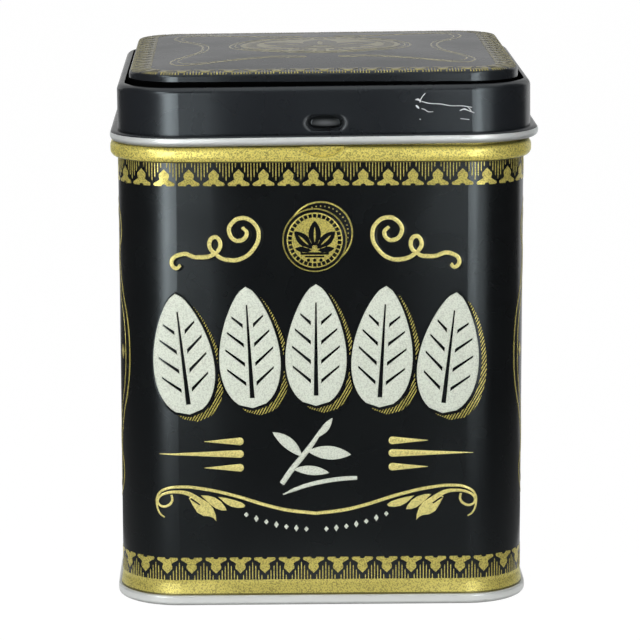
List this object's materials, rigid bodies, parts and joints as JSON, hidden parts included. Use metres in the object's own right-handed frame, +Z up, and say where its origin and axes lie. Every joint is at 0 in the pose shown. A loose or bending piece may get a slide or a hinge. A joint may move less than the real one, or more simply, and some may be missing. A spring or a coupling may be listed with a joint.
{
  "type": "tea tin",
  "caption": "Square tea tin, shut: printed tinplate body with a rolled bead and a seamed bottom, under a stepped lid with a curled rim and a pressed catch.",
  "frame": {"origin": "middle of the base, on the surface that the tin stands on", "axes": "+Z up, +X to the right of the front face, -Y out of the front face that has the catch"},
  "size_m": [0.0785, 0.0786, 0.0998],
  "materials": {
    "lacquered_tin": "satin black lacquer",
    "bare_tin": "bare tinplate, drawn smooth",
    "gold_print": "speckled gold ink",
    "cream_print": "stippled cream ink, embossed"
  },
  "bodies": {
    "root": {"tin_body": "lacquered_tin", "tin_lid": "lacquered_tin", "tin_base": "bare_tin"}
  },
  "joints": []
}
